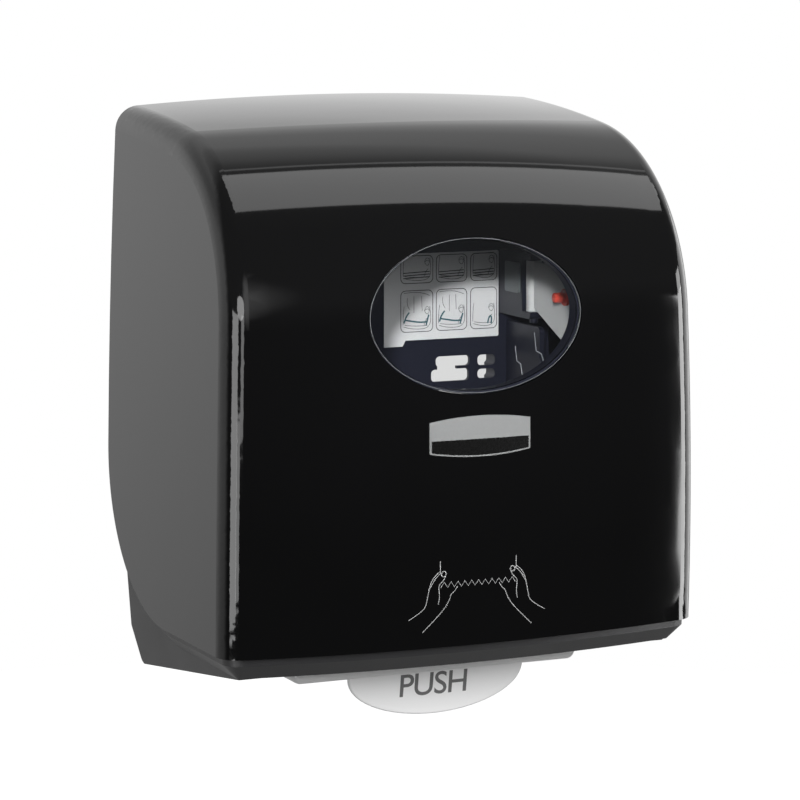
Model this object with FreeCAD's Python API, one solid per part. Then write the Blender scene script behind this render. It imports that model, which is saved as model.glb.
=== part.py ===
import FreeCAD, Part
import math
import os

# Wall-mounted paper towel dispenser with a push lever, in millimetres.
# +X is to the right seen from the front, -Y towards the user, +Z up.
# The origin is the centre of the wall screw pattern, on the wall plane.

os.makedirs("parts", exist_ok=True)
V = FreeCAD.Vector

# ---------------------------------------------------------------- driving sizes
# cover
width = 288.0                # over the bowed sides, at their widest
depth = 202.0                # from the wall to the middle of the front
shoulder_z = 36.0            # height of the shoulder arc's centre
shoulder_radius = 106.5
top_radius = 950.0
front_radius = 2300.0
top_turn = 9.0               # degrees off vertical where the top meets the shoulder
front_turn = 87.5            # degrees off vertical where the shoulder meets the front
bow_radius = 700.0           # sideways bow, at the top of the front
bow_lean = 15.0              # degrees the bow's axis leans back, which bows the top less
side_radius = 5000.0         # bow of the two sides
widest_z = -135.0
corner_radius = 14.5
cover_wall = 2.5
cover_edge_z = -140.3        # level lower edge of the cover
edge_turn_y = -94.0          # where the lower edge starts to curve up to the wall
wall_gap = 1.0               # between the cover's rear edge and the wall
window_z = 40.5
window_half_width = 64.0
window_half_height = 42.4
lens_wall = 1.6
lens_lip = 5.0               # how far the lens reaches behind the cover's wall

# base
cover_gap = 1.2              # between the base and the inside of the cover
base_wall = 2.5
base_rim = 1.0               # how far the base reaches up behind the cover's edge
strip_z = -153.2             # bottom of the base at the front
strip_slope = 8.5            # chamfer of the strip that shows under the cover
cheek_half_width = width / 2 - 13
cheek_taper = 4.0            # degrees
floor_front = (30 - depth, -154.5)    # y, z where the sloping floor starts
floor_rear = (-15.0, -176.5)          # y, z of its lowest point
base_rear_z = -156.0         # lowest point of the base on the wall

# wall plate
plate_half_width = width / 2 - 18
plate_top_z = 139.0
plate_bottom_z = -92.0
rear_wall_z = -84.0          # top of the base's rear wall, behind the plate
plate_face_y = -12.0
plate_wall = 2.5
wall_screw_x = 75.0
wall_screw_z = 72.0
wall_screw_hole = 2.75       # radius
label_box = (27.0, 102.6, 4.6, 56.6)      # x0, x1, z0, z1

# feed module's side frames
frame_x = width / 2 - 36     # inner faces of the two side frames
frame_wall = 3.0

# roll holder
roll_y, roll_z = -95.7, 36.0
arm_x = frame_x - 2          # inner face of the roll arm
arm_wall = 3.5
arm_post_x, arm_post_y = arm_x + 2, -49.3
arm_post_radius = 2.5
arm_low_z, arm_high_z = 23.2, 53.2
hub_pin_radius = 3.0
hub_pin_reach = 8.5          # how far the pin stands out of the arm

# feed module's rollers
feed_y, feed_z = -98.0, -96.0
feed_radius = 19.0
feed_shaft_radius = 4.0
pinch_radius = 10.0
pinch_shaft_radius = 3.0
towel_gap = 0.3              # between the feed and pinch rollers
band_width = 40.0
band_places = (-75.0, -25.0, 25.0, 75.0)
running = 0.05               # radial clearance of a shaft that turns in its hole

# lever
lever_y, lever_z = -122.0, -118.0
lever_shaft_radius = 3.0
bar_half_width = frame_x - 19.5
bar_front_y, bar_rear_y = -147.5, -119.0
bar_z = -166.6
bar_top_z = -146.5
lever_wall = 2.5
tab_half_width = 54.0
tab_z = -191.5
tab_lean = 5.0               # how far the tab's foot stands behind its head
tab_wall = 3.2
pocket_gap = 3.0             # between the lever and the base in front and beside it
pocket_rear_y = -97.0
slot_front_y, slot_rear_y = -88.4, -70.0
slot_half_width = frame_x - 4

# gears
module = 1.5
sector_teeth, idler_pinion_teeth = 72, 12
idler_gear_teeth, clutch_teeth = 44, 18
gear_play = 0.12             # backlash at the pitch circle
sector_face = (-frame_x - 9.5, -frame_x - 4.5)    # x
idler_face = (-frame_x - 17, -frame_x - 11)       # x

# cover hinge and lock
hinge_y, hinge_z = 32 - depth, cover_edge_z - 1.5
hinge_pin_radius = 2.5
hinge_arm_x = width / 2 - 20     # inner face of the cover's hinge arm
hinge_arm_wall = 3.5
lock_y, lock_z = -30.0, 100.0
lock_radius = 9.0

# ---------------------------------------------------------------- small tools
def to_yz(u, v, w):
    return V(w, u, v)


def to_xz(u, v, w):
    return V(u, w, v)


def to_xy(u, v, w):
    return V(u, v, w)


def loop(corners, place, level):
    """Closed wire through (u, v) or (u, v, corner radius), on one plane."""
    count = len(corners)
    ends = []
    for i in range(count):
        u, v = corners[i][:2]
        radius = corners[i][2] if len(corners[i]) > 2 else 0.0
        point = V(u, v, 0)
        if radius <= 0:
            ends.append((point, None, point))
            continue
        back = (V(*corners[i - 1][:2], 0) - point).normalize()
        ahead = (V(*corners[(i + 1) % count][:2], 0) - point).normalize()
        half = back.getAngle(ahead) / 2
        middle = (back + ahead).normalize()
        centre = point + middle * (radius / math.sin(half))
        reach = radius / math.tan(half)
        ends.append((point + back * reach, centre - middle * radius, point + ahead * reach))
    edges = []
    for i in range(count):
        start, middle, end = [p and place(p.x, p.y, level) for p in ends[i]]
        if middle:
            edges.append(Part.Arc(start, middle, end).toShape())
        following = ends[(i + 1) % count][0]
        following = place(following.x, following.y, level)
        if (following - end).Length > 1e-6:
            edges.append(Part.makeLine(end, following))
    return Part.Wire(edges)


def prism(corners, place, start, end):
    """Solid with the given outline, from start to end along the plane's normal."""
    face = Part.Face(loop(corners, place, start))
    return face.extrude(place(0, 0, end) - place(0, 0, start))


def rod(radius, x0, x1, y, z):
    return Part.makeCylinder(radius, x1 - x0, V(x0, y, z), V(1, 0, 0))


def box(x0, x1, y0, y1, z0, z1):
    return Part.makeBox(x1 - x0, y1 - y0, z1 - z0, V(x0, y0, z0))


def on_both_sides(shape):
    return [shape, shape.mirror(V(0, 0, 0), V(1, 0, 0))]


def joined(first, *others):
    return first.fuse(list(others)).removeSplitter()


nodes = {}


def keep(name, *solids):
    """One solid, or one group of separate solids, as a named sub-part."""
    found = [solid for shape in solids for solid in shape.Solids]
    nodes[name] = found[0] if len(found) == 1 else Part.makeCompound(found)


# ---------------------------------------------------------------- outer form
def off_vertical(centre, radius, degrees):
    turn = math.radians(degrees)
    return V(0, centre.y - radius * math.sin(turn), centre.z + radius * math.cos(turn))


front_reach = math.sin(math.radians(front_turn)) * (front_radius - shoulder_radius)
shoulder_centre = V(0, front_radius - depth - front_reach, shoulder_z)
top_centre = off_vertical(shoulder_centre, shoulder_radius - top_radius, top_turn)
front_centre = off_vertical(shoulder_centre, shoulder_radius - front_radius, front_turn)
bow_direction = V(0, math.sin(math.radians(bow_lean)), math.cos(math.radians(bow_lean)))
bow_point = off_vertical(shoulder_centre, shoulder_radius - bow_radius, 90 - bow_lean)
half_bow = 18.0              # degrees of turn, enough to pass the sides
past_wall = 14.0             # how far the closed forms run on behind the wall
past_bottom = 200.0          # and how far down


def bowed_profile(inset):
    """The side profile, set in, turned through the sideways bow."""
    top, shoulder, front = [r - inset for r in (top_radius, shoulder_radius, front_radius)]
    first = math.degrees(math.asin((top_centre.y - past_wall) / top))
    last = math.degrees(math.acos((-past_bottom - front_centre.z) / front))
    edges = []
    for centre, radius, a, b in ((top_centre, top, first, top_turn),
                                 (shoulder_centre, shoulder, top_turn, front_turn),
                                 (front_centre, front, front_turn, last)):
        points = [off_vertical(centre, radius, turn) for turn in (a, (a + b) / 2, b)]
        edges.append(Part.Arc(*points).toShape())
        if len(edges) == 1:
            start = points[0]
    corner = V(0, past_wall, -past_bottom)
    edges += [Part.makeLine(points[2], corner), Part.makeLine(corner, start)]
    face = Part.Face(Part.Wire(edges))
    face.rotate(bow_point, bow_direction, -half_bow)
    return face.revolve(bow_point, bow_direction, 2 * half_bow)


def side_slab(inset):
    """Everything between the two bowed sides, set in."""
    radius = side_radius - inset
    rows = []
    for z in (-past_bottom - 60, widest_z, past_bottom + 40):
        sag = radius - math.sqrt(radius ** 2 - (z - widest_z) ** 2)
        rows.append((width / 2 - inset - sag, z))
    right = Part.Arc(*[V(x, 40, z) for x, z in rows]).toShape()
    left = Part.Arc(*[V(-x, 40, z) for x, z in rows]).toShape()
    bottom, top = rows[0], rows[2]
    edges = [right, Part.makeLine(V(top[0], 40, top[1]), V(-top[0], 40, top[1])), left,
             Part.makeLine(V(-bottom[0], 40, bottom[1]), V(bottom[0], 40, bottom[1]))]
    return Part.Face(Part.Wire(edges)).extrude(V(0, -depth - 120, 0))


def outer_form(inset):
    """The dispenser's outside, set in, with its side edges rounded."""
    form = bowed_profile(inset).common(side_slab(inset))
    edges = []
    for edge in form.Edges:
        middle = edge.CenterOfMass
        if abs(middle.x) > width / 3 and middle.y < past_wall - 2 and middle.z > 6 - past_bottom:
            edges.append(edge)
    return form.makeFillet(corner_radius - inset, edges).Solids[0]


def ellipse_prism(half_width, half_height):
    middle = V(0, 0, window_z)
    curve = Part.Ellipse(V(half_width, 0, window_z), V(0, 0, window_z + half_height), middle)
    return Part.Face(Part.Wire(curve.toShape())).extrude(V(0, -depth - 20, 0))


def above_edge(lowered, rear_y):
    """Space above the cover's lower edge line, which curves up to the wall at the back."""
    edge_radius = -wall_gap - edge_turn_y
    z = cover_edge_z - lowered
    centre_z = cover_edge_z + edge_radius
    radius = edge_radius + lowered
    turn = radius / math.sqrt(2)
    top, front = width, -2 * depth
    bend = Part.Arc(V(0, edge_turn_y, z), V(0, edge_turn_y + turn, centre_z - turn),
                    V(0, edge_turn_y + radius, centre_z)).toShape()
    rest = Part.makePolygon([V(0, edge_turn_y + radius, centre_z), V(0, width, centre_z),
                             V(0, width, top), V(0, front, top), V(0, front, z), V(0, edge_turn_y, z)])
    face = Part.Face(Part.Wire([bend] + rest.Edges))
    face.translate(V(-width, 0, 0))
    space = face.extrude(V(2 * width, 0, 0))
    return space.common(box(-width, width, 2 * front, rear_y, -width, width + depth))


# ---------------------------------------------------------------- cover
cover_inside = outer_form(cover_wall)
cover = outer_form(0).cut(cover_inside).common(above_edge(0, -wall_gap))
cover = cover.cut(ellipse_prism(window_half_width, window_half_height))

# stiffening ribs under the shoulder
rib_height, rib_wall = 5.0, 1.4
rib_band = cover_inside.cut(outer_form(cover_wall + rib_height))
rib_space = rib_band.common(box(-width, width, -depth, -8, shoulder_z + 62, width))
ribs = []
for x in (-100.0, -50.0, 0.0, 50.0, 100.0):
    ribs += rib_space.common(box(x - rib_wall / 2, x + rib_wall / 2, -depth, 0, 0, width)).Solids

# hinge arms: from the boss on the pin, up and back, then out to the side wall
boss_radius = 4.0
arm_rise = 18.0              # from the hinge axis back and up to the root of the arm
root = (hinge_y + arm_rise, hinge_z + arm_rise)
cover_skin = outer_form(cover_wall / 2)
strap = prism([(hinge_y - 2.2, hinge_z + 2.6), (hinge_y + 2.6, hinge_z - 2.2),
               (root[0] + 3.5, root[1] - 2.0, 3), (root[0] + 3.5, root[1] + 5.0),
               (root[0] - 3.5, root[1] + 5.0, 3)], to_yz, hinge_arm_x, hinge_arm_x + hinge_arm_wall)
boss = rod(boss_radius, hinge_arm_x, hinge_arm_x + hinge_arm_wall, hinge_y, hinge_z)
bridge = box(hinge_arm_x, width / 2, root[0] - 3.0, root[0] + 3.0, root[1], root[1] + 5.0)
hinge_arm = joined(strap, boss, bridge.common(cover_skin))
hinge_arm = hinge_arm.cut(rod(hinge_pin_radius + running, 0, width, hinge_y, hinge_z))
cover = joined(cover, *ribs, *on_both_sides(hinge_arm))

# lock boss on the right side wall
lock_recess = 0.8
side_x = width / 2 - (side_radius - math.sqrt(side_radius ** 2 - (lock_z - widest_z) ** 2))
lock_boss = rod(lock_radius + 3, width / 2 - 14, width / 2, lock_y, lock_z).common(cover_skin)
cover = joined(cover, lock_boss).cut(rod(lock_radius, 0, width, lock_y, lock_z))
cover = cover.cut(rod(lock_radius + 2.4, side_x - lock_recess, width, lock_y, lock_z))
keep("front_cover", cover)

# clear lens, held from behind by its lip
lens_set, lens_play = 0.3, 0.3
lens_edge = (window_half_width - lens_play, window_half_height - lens_play)
lens_inner = (lens_edge[0] - lens_wall, lens_edge[1] - lens_wall)
lip_inset = cover_wall + 0.05
pane = outer_form(lens_set).cut(outer_form(lens_set + lens_wall)).common(ellipse_prism(*lens_edge))
lip_back = outer_form(lip_inset + lens_wall)
ring = outer_form(lens_set).cut(lip_back).common(ellipse_prism(*lens_edge))
lip_rim = (lens_edge[0] + lens_lip, lens_edge[1] + lens_lip)
lip = outer_form(lip_inset).cut(lip_back).common(ellipse_prism(*lip_rim))
hollow = ellipse_prism(*lens_inner)
keep("window_lens", joined(pane, ring.cut(hollow), lip.cut(hollow)))

# badge plate: straight ends, bowed top and bottom
badge_half_width, badge_z, badge_wall = 30.2, -24.6, 0.8
badge_half_end, badge_half_middle = 8.6, 11.2
badge_corners = [V(x, -depth / 2, badge_z + z) for x, z in (
    (-badge_half_width, badge_half_end), (badge_half_width, badge_half_end),
    (badge_half_width, -badge_half_end), (-badge_half_width, -badge_half_end))]
badge_top = Part.Arc(badge_corners[0], V(0, -depth / 2, badge_z + badge_half_middle), badge_corners[1])
badge_foot = Part.Arc(badge_corners[2], V(0, -depth / 2, badge_z - badge_half_middle), badge_corners[3])
badge_rim = Part.Wire([badge_top.toShape(), Part.makeLine(badge_corners[1], badge_corners[2]),
                       badge_foot.toShape(), Part.makeLine(badge_corners[3], badge_corners[0])])
badge = Part.Face(badge_rim).extrude(V(0, -depth, 0))
keep("cover_badge", outer_form(-badge_wall).cut(outer_form(0)).common(badge))

# lock: barrel with a key slot, nut, and a cam that turns behind the keeper
lock_inner_x = width / 2 - 22
lock_seat = side_x - lock_recess + 0.3
lock_face = side_x + 1.0
barrel = rod(lock_radius - running, lock_inner_x, lock_seat + 0.1, lock_y, lock_z)
head = rod(lock_radius + 2, lock_seat, lock_face, lock_y, lock_z)
head = head.makeFillet(0.8, [edge for edge in head.Edges if edge.BoundBox.XMin > lock_face - 0.1])
key_slot = box(lock_face - 6, width, lock_y - 0.9, lock_y + 0.9, lock_z - 4, lock_z + 4)
barrel = joined(barrel, head).cut(key_slot)
cam_wall, cam_reach = 2.5, 17.0
cam_x = lock_inner_x - cam_wall
spigot = rod(3, cam_x, lock_inner_x + 1, lock_y, lock_z)
keep("lock_barrel", joined(barrel, spigot))
cam = prism([(lock_y - 5, lock_z + 5, 4.9), (lock_y - 5, lock_z - cam_reach, 2),
             (lock_y + 5, lock_z - cam_reach, 2), (lock_y + 5, lock_z + 5, 4.9)],
            to_yz, cam_x, cam_x + cam_wall)
keep("lock_cam", cam.cut(rod(3, 0, width, lock_y, lock_z)))

# ---------------------------------------------------------------- base
def floor_z(y):
    """Height of the base's sloping underside."""
    rise = (floor_rear[1] - floor_front[1]) / (floor_rear[0] - floor_front[0])
    return floor_front[1] + (y - floor_front[0]) * rise


def floor_top(y):
    rise = (floor_rear[1] - floor_front[1]) / (floor_rear[0] - floor_front[0])
    return floor_z(y) + base_wall * math.sqrt(1 + rise ** 2)


floor_slope = math.atan2(floor_front[1] - floor_rear[1], floor_rear[0] - floor_front[0])
floor_up = V(0, math.sin(floor_slope), math.cos(floor_slope))


def skirt(inset):
    """The strip under the cover's edge, sloping in at its foot all round."""
    drop = cover_edge_z - strip_z
    form = outer_form(cover_wall + cover_gap + inset).common(above_edge(drop - inset, -inset))
    edges = []
    for edge in form.Edges:
        faces = form.ancestorsOfType(edge, Part.Face)
        low = [face for face in faces if face.CenterOfMass.z < cover_edge_z + 20
               and abs(face.normalAt(0, 0).x) < 0.01 and face.CenterOfMass.y > hinge_y
               and (isinstance(face.Surface, (Part.Plane, Part.Cylinder)))
               and face.BoundBox.XLength > width / 2]
        if len(low) == 1 and edge.CenterOfMass.y < -3 - inset:
            edges.append(edge)
    return form.makeChamfer(strip_slope - inset * (2 - math.sqrt(2)), edges)


def cheeks(inset):
    """The deeper rear part of the base, narrower than the cover and slightly tapered."""
    outline = Part.Face(loop([floor_front, (*floor_rear, 7), (0, base_rear_z, 3), (0, -40),
                              (floor_front[0], -40)], to_yz, -width / 2))
    if inset:
        outline = outline.makeOffset2D(-inset)
    side = outline.extrude(V(width, 0, 0))
    lean = math.tan(math.radians(cheek_taper))
    top, bottom = -40.0, -180.0
    edge = cheek_half_width - inset
    ends = [(edge - lean * (cover_edge_z - z), z) for z in (top, bottom)]
    taper = prism([(-ends[0][0], top), (-ends[1][0], bottom), (ends[1][0], bottom), (ends[0][0], top)],
                  to_xz, 1, -depth)
    return side.common(taper)


base = joined(skirt(0), cheeks(0))
base = base.cut(skirt(base_wall).fuse(cheeks(base_wall)))
base = base.cut(above_edge(-base_rim, width))
plate_room = plate_half_width + 1.0
base = base.cut(box(-plate_room, plate_room, -base_wall - 1, 1, rear_wall_z, 0))

# one ear at either end, standing on the floor, with a pin for the cover's hinge arm
ear_wall, ear_radius, ear_gap = 5.0, 5.0, 1.0
ear_outline = [(hinge_y - 3, floor_z(hinge_y - 3) + 1), (hinge_y + 9, floor_z(hinge_y + 9) + 1),
               (hinge_y + ear_radius, hinge_z + ear_radius, 4.9),
               (hinge_y - ear_radius, hinge_z + ear_radius, 4.9)]
ear_end = hinge_arm_x - ear_gap
ear = prism(ear_outline, to_yz, ear_end - ear_wall, ear_end)
hinge_pin = rod(hinge_pin_radius, ear_end - ear_wall, hinge_arm_x + hinge_arm_wall + ear_gap, hinge_y, hinge_z)
base = joined(base, *on_both_sides(ear)).cut(Part.makeCompound(on_both_sides(hinge_pin)))
boss_room = rod(boss_radius + 0.6, ear_end, hinge_arm_x + hinge_arm_wall + ear_gap, hinge_y, hinge_z)
base = base.cut(Part.makeCompound(on_both_sides(boss_room)))
keep("cover_hinge_pins", *on_both_sides(hinge_pin))

# openings in the floor: the lever's pocket, and the slot the towel hangs out of
above_floor = cover_edge_z - 4
below_floor = floor_rear[1] - 9
pocket = box(-bar_half_width - pocket_gap, bar_half_width + pocket_gap, bar_front_y - pocket_gap,
             pocket_rear_y, below_floor, above_floor)
slot = box(-slot_half_width, slot_half_width, slot_front_y, slot_rear_y, below_floor, above_floor)
base = base.cut(pocket.fuse(slot))

# bosses for the screws that hold the wall plate to the base
screw_radius, screw_head_radius, screw_head = 1.5, 3.0, 2.2
plate_screw_places = (8 - plate_half_width, -40.0, 40.0, plate_half_width - 8)
plate_screw_z = (plate_bottom_z + rear_wall_z) / 2
boss_reach = -plate_face_y - plate_wall
for x in plate_screw_places:
    base = joined(base, Part.makeCylinder(5, boss_reach, V(x, 0, plate_screw_z), V(0, -1, 0)))


def pan_screw(seat, direction, length):
    """A pan-head screw: its head stands on seat, its shank runs on along direction."""
    shank = Part.makeCylinder(screw_radius, length, seat, direction)
    head = Part.makeCylinder(screw_head_radius, screw_head, seat, direction * -1)
    top = seat - direction * screw_head
    rim = [edge for edge in head.Edges if (edge.CenterOfMass - top).Length < 0.1]
    head = head.makeFillet(1.0, rim)
    recess = Part.makeCylinder(1.2, 1.2, top, direction)
    return joined(shank, head).cut(recess)


plate_screws = [pan_screw(V(x, plate_face_y, plate_screw_z), V(0, 1, 0), boss_reach + 1)
                for x in plate_screw_places]
keep("plate_screws", *plate_screws)
base = base.cut(Part.makeCompound(plate_screws))

# ---------------------------------------------------------------- wall plate
def plate_outline(inset):
    edge, top, bottom = plate_half_width - inset, plate_top_z - inset, plate_bottom_z + inset
    return [(-edge, bottom, 5 - inset), (edge, bottom, 5 - inset),
            (edge, top, 26 - inset), (-edge, top, 26 - inset)]


plate = prism(plate_outline(0), to_xz, plate_face_y, 0)
plate = plate.cut(prism(plate_outline(plate_wall), to_xz, plate_face_y + plate_wall, 1))
wall_boss_radius, back_rib_wall = 8.0, 2.0
wall_places = [(x, z) for x in (-wall_screw_x, wall_screw_x) for z in (-wall_screw_z, wall_screw_z)]
wall_bosses = [Part.makeCylinder(wall_boss_radius, -plate_face_y, V(x, 0, z), V(0, -1, 0))
               for x, z in wall_places]
back_ribs = [box(x - back_rib_wall / 2, x + back_rib_wall / 2, plate_face_y + 1, 0,
                 plate_bottom_z + 1, plate_top_z - 1) for x in (-100.0, -40.0, 40.0, 100.0)]
plate = joined(plate, *wall_bosses, *back_ribs)
plate = plate.cut(box(-width, width, -base_wall, 1, plate_bottom_z - 1, rear_wall_z + 1))
for x, z in wall_places:
    plate = plate.cut(Part.makeCylinder(wall_screw_hole, 40, V(x, 1, z), V(0, -1, 0)))
    plate = plate.cut(Part.makeCylinder(2.2 * wall_screw_hole, 4, V(x, plate_face_y + 3, z), V(0, -1, 0)))
for x in plate_screw_places:
    plate = plate.cut(Part.makeCylinder(screw_radius, 40, V(x, 1, plate_screw_z), V(0, -1, 0)))
    plate = plate.cut(Part.makeCylinder(5.0, 20, V(x, plate_face_y + plate_wall, plate_screw_z), V(0, 1, 0)))

# windows cut through the plate, to either side
cut_places = [(58.0, 83.0, -21.4, -14.0), (61.0, 83.5, -12.4, -6.1), (88.8, 100.3, -20.8, -15.0),
              (88.8, 100.3, -12.9, -6.4), (58.0, 83.0, -34.9, -26.6), (88.8, 100.3, -34.9, -26.6)]
for x0, x1, z0, z1 in cut_places:
    cutter = prism([(x0, z0, 2.4), (x1, z0, 2.4), (x1, z1, 2.4), (x0, z1, 2.4)], to_xz, 1, -20)
    plate = plate.cut(Part.makeCompound(on_both_sides(cutter)))
bridge_cut = prism([(62.0, -16.0, 1), (75.0, -16.0, 1), (75.0, -11.0, 1), (62.0, -11.0, 1)], to_xz, 1, -20)
plate = plate.cut(Part.makeCompound(on_both_sides(bridge_cut)))

# keeper that the lock's cam turns under
keeper_z = lock_z + 5 + 1.0
keeper = box(cam_x - 3, lock_inner_x - 0.6, plate_face_y - 12, plate_face_y + 1, keeper_z, keeper_z + 4)
keeper_web = box(cam_x - 3, cam_x - 1, plate_face_y - 12, plate_face_y + 1, keeper_z, keeper_z + 14)
plate = joined(plate, keeper, keeper_web)
keep("wall_plate", plate)

label_wall = 0.25
x0, x1, z0, z1 = label_box
label = prism([(x0, z0 - 3.5), (x0 + 12, z0 - 3.5), (x0 + 14, z0), (x1, z0, 1), (x1, z1, 1), (x0, z1, 1)],
              to_xz, plate_face_y, plate_face_y - label_wall)
keep("instruction_label", label)

# ---------------------------------------------------------------- roll holder
def right_and_left(name, *shapes):
    """The same piece for the right side, and its mirror image for the left."""
    keep("right_" + name, *shapes)
    keep("left_" + name, *[shape.mirror(V(0, 0, 0), V(1, 0, 0)) for shape in shapes])


barrel_radius, ear_height, bracket_front = 4.6, 4.0, arm_post_y - 5.5
bracket_stop = arm_post_y + barrel_radius + 0.9
bracket = prism([(plate_face_y, arm_high_z + ear_height + 0.4), (bracket_front, arm_high_z + ear_height + 0.4, 3),
                 (bracket_front, arm_high_z + 0.4), (bracket_stop, arm_high_z + 0.4),
                 (bracket_stop, arm_low_z - 0.4), (bracket_front, arm_low_z - 0.4),
                 (bracket_front, arm_low_z - ear_height - 0.4, 3), (plate_face_y, arm_low_z - ear_height - 0.4)],
                to_yz, arm_post_x - 5, arm_post_x + 5)
post_low, post_high = arm_low_z - ear_height - 3, arm_high_z + ear_height + 0.4
post = Part.makeCylinder(arm_post_radius, post_high - post_low, V(arm_post_x, arm_post_y, post_low))
post_head = Part.makeCylinder(4.5, 5.5, V(arm_post_x, arm_post_y, post_high))
post_head = post_head.makeFillet(1.5, [e for e in post_head.Edges if e.CenterOfMass.z > post_high + 5])
bracket = bracket.cut(post)
cap_front, cap_rear, cap_low, cap_high = arm_post_y + 8, arm_post_y + 27, arm_low_z + 10, arm_high_z - 2
spring_cap = prism([(cap_front, cap_low, 1.5), (cap_rear, cap_low, 1.5),
                    (cap_rear, cap_high, 1.5), (cap_front, cap_high, 1.5)],
                   to_yz, arm_post_x - 5 - 1.2, arm_post_x - 5)
right_and_left("arm_bracket", bracket)
right_and_left("arm_post", joined(post, post_head))
right_and_left("bracket_cap", spring_cap)

arm_plate = prism([(arm_post_y + 1, arm_high_z - 0.5), (arm_post_y - 22, arm_high_z - 0.5, 30),
                   (roll_y - 17, roll_z + 2.5, 16), (roll_y - 8.2, roll_z - 32, 9),
                   (arm_post_y + 1, arm_low_z + 4.5)], to_yz, arm_x, arm_x + arm_wall)
arm_barrel = Part.makeCylinder(barrel_radius, arm_high_z - arm_low_z, V(arm_post_x, arm_post_y, arm_low_z))
arm_bore = Part.makeCylinder(arm_post_radius + running, 80, V(arm_post_x, arm_post_y, 0))
hub_rim = rod(9.0, arm_x + arm_wall - 0.5, arm_x + arm_wall + 2.0, roll_y, roll_z)
hub_pin = rod(hub_pin_radius, arm_x - hub_pin_reach, arm_x + arm_wall + 2.0, roll_y, roll_z)
hub_pin = hub_pin.makeFillet(1.2, [e for e in hub_pin.Edges if e.BoundBox.XMax < arm_x - hub_pin_reach + 0.1])
pin_collar = rod(5.0, arm_x - 1.5, arm_x, roll_y, roll_z)
arm = joined(arm_plate, arm_barrel, hub_rim).cut(arm_bore)
arm = arm.cut(rod(hub_pin_radius, 0, width, roll_y, roll_z))
right_and_left("roll_arm", arm)
right_and_left("hub_pin", joined(hub_pin, pin_collar))

# ---------------------------------------------------------------- gear places
sector_radius, idler_pinion_radius, idler_gear_radius, clutch_radius = [
    module * teeth / 2 for teeth in (sector_teeth, idler_pinion_teeth, idler_gear_teeth, clutch_teeth)]
to_sector = sector_radius + idler_pinion_radius
to_clutch = idler_gear_radius + clutch_radius
spread = math.hypot(feed_y - lever_y, feed_z - lever_z)
along = (to_sector ** 2 - to_clutch ** 2 + spread ** 2) / (2 * spread)
aside = math.sqrt(to_sector ** 2 - along ** 2)
unit = ((feed_y - lever_y) / spread, (feed_z - lever_z) / spread)
idler_y = lever_y + unit[0] * along - unit[1] * aside
idler_z = lever_z + unit[1] * along + unit[0] * aside

# ---------------------------------------------------------------- side frames
pinch_y = feed_y + feed_radius + towel_gap + pinch_radius
foot_width, foot_wall = 13.0, 3.0
foot_front, foot_rear = -144.0, -30.0
frame_outline = [(plate_face_y, 14), (plate_face_y, floor_top(plate_face_y) + 7), (-28, floor_top(-28)),
                 (-146, floor_top(-146)), (-146, -62, 12), (-132, -41, 14), (-94, -41, 10), (-66, -26, 5),
                 (-66, -12, 2), (-57, -4, 2), (-57, 14, 3)]
frame = prism(frame_outline, to_yz, frame_x, frame_x + frame_wall)
foot = prism([(foot_front, floor_top(foot_front)), (foot_rear, floor_top(foot_rear)),
              (foot_rear, floor_top(foot_rear) + foot_wall),
              (foot_front, floor_top(foot_front) + foot_wall)], to_yz, frame_x, frame_x + foot_width)
foot_screw_y = (-134.0, -45.0)
foot_screws = []
for y in foot_screw_y:
    seat = V(frame_x + 8, y, floor_top(y) + foot_wall / math.cos(floor_slope))
    foot_screws.append(pan_screw(seat, floor_up * -1, foot_wall + base_wall - 0.3))
frame = joined(frame, foot)
feed_bush_radius, lever_bush_radius = 7.0, 5.5
block_front, block_rear, block_half, window_rear = pinch_y - 5, pinch_y + 5, 6.0, pinch_y + 13
frame = frame.cut(rod(feed_bush_radius, 0, width, feed_y, feed_z))
frame = frame.cut(rod(lever_bush_radius, 0, width, lever_y, lever_z))
frame = frame.cut(box(0, width, block_front - 1.5, window_rear, feed_z - block_half, feed_z + block_half))
tie_places = ((-138.0, -66.0), (-40.0, -72.0))
tie_radius = 3.0
for y, z in tie_places:
    frame = frame.cut(rod(tie_radius, 0, width, y, z))
stud_radius = 4.0
all_screws = Part.makeCompound([s for screw in foot_screws for s in on_both_sides(screw)])
left_frame = frame.mirror(V(0, 0, 0), V(1, 0, 0)).cut(rod(stud_radius, -width, 0, idler_y, idler_z))
keep("right_side_frame", frame.cut(all_screws))
keep("left_side_frame", left_frame.cut(all_screws))
keep("frame_screws", *all_screws.Solids)
base = base.cut(all_screws)
keep("base_housing", base)
keep("tie_bars", *[rod(tie_radius, -frame_x - frame_wall, frame_x + frame_wall, y, z) for y, z in tie_places])

# ---------------------------------------------------------------- towel path
chute_wall = 1.5


def chute(foot, head):
    """Flat sheet between the frames, from its foot to its head, given as (y, z)."""
    run = V(head[0] - foot[0], head[1] - foot[1], 0).normalize()
    up = V(-run.y, run.x, 0) * math.copysign(chute_wall, run.x)
    return prism([foot, head, (head[0] + up.x, head[1] + up.y), (foot[0] + up.x, foot[1] + up.y)],
                 to_yz, -frame_x, frame_x)


chute_head_z = feed_z + 52
keep("front_chute", chute((feed_y - 15, feed_z + 24), (feed_y - 52, chute_head_z)))
keep("rear_chute", chute((feed_y + 36, feed_z + 18), (plate_face_y - 2, chute_head_z)))

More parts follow.
